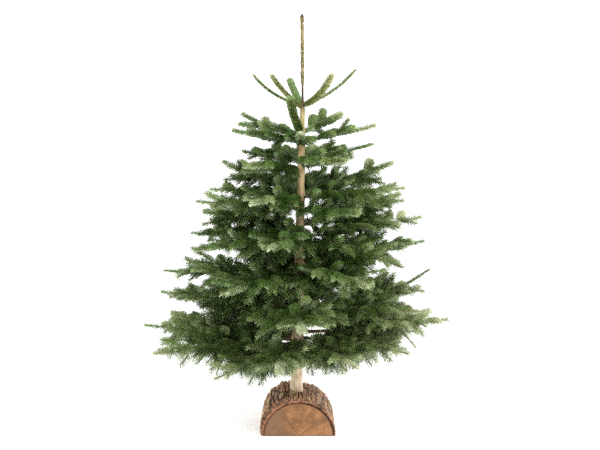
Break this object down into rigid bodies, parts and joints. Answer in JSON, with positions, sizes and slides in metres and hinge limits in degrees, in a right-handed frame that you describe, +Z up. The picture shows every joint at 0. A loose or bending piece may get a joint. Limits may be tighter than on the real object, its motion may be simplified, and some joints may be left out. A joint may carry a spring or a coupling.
{
  "type": "fir christmas tree in half-log stand",
  "caption": "Small undecorated fir tree with tiered needle-covered boughs and a bare leader, its trunk set upright in half of a round log with the bark on.",
  "frame": {"origin": "middle of the flat sawn underside of the half log, on the floor", "axes": "+Z up along the tree, -Y towards the front, where the log's sawn end shows, +X to the right as seen from the front"},
  "size_m": [1.0597, 0.8718, 1.47],
  "materials": {
    "needles": "satin, waxy",
    "trunk_bark": "matt",
    "bough_bark": "matt",
    "log_wood": "matt, sawn",
    "log_bark": "matt, rough"
  },
  "bodies": {
    "root": {"bough_w8_a": "bough_bark", "bough_w8_b": "bough_bark", "bough_w8_c": "bough_bark", "bough_w8_d": "bough_bark", "bough_w8_e": "bough_bark", "bough_w8_f": "bough_bark", "bough_w8_g": "bough_bark", "bough_w8_h": "bough_bark", "log_bark": "log_bark", "log_wood": "log_wood", "needles_w1_a": "needles", "needles_w1_b": "needles", "needles_w1_c": "needles", "needles_w1_d": "needles", "needles_w1_e": "needles", "needles_w1_f": "needles", "needles_w2_a": "needles", "needles_w2_b": "needles", "needles_w2_c": "needles", "needles_w2_d": "needles", "needles_w2_e": "needles", "needles_w3_a": "needles", "needles_w3_b": "needles", "needles_w3_c": "needles", "needles_w3_d": "needles", "needles_w3_e": "needles", "needles_w4_a": "needles", "needles_w4_b": "needles", "needles_w4_c": "needles", "needles_w4_d": "needles", "needles_w4_e": "needles", "needles_w4_f": "needles", "needles_w4_g": "needles", "needles_w4_h": "needles", "needles_w5_a": "needles", "needles_w5_b": "needles", "needles_w5_c": "needles", "needles_w5_d": "needles", "needles_w5_e": "needles", "needles_w5_f": "needles", "needles_w5_g": "needles", "needles_w6_a": "needles", "needles_w6_b": "needles", "needles_w6_c": "needles", "needles_w6_d": "needles", "needles_w6_e": "needles", "needles_w7_a": "needles", "needles_w7_b": "needles", "needles_w7_c": "needles", "needles_w7_d": "needles", "needles_w7_e": "needles", "needles_w8_a": "needles", "needles_w8_b": "needles", "needles_w8_c": "needles", "needles_w8_d": "needles", "needles_w8_e": "needles", "needles_w8_f": "needles", "needles_w8_g": "needles", "needles_w8_h": "needles", "trunk": "trunk_bark"}
  },
  "joints": []
}
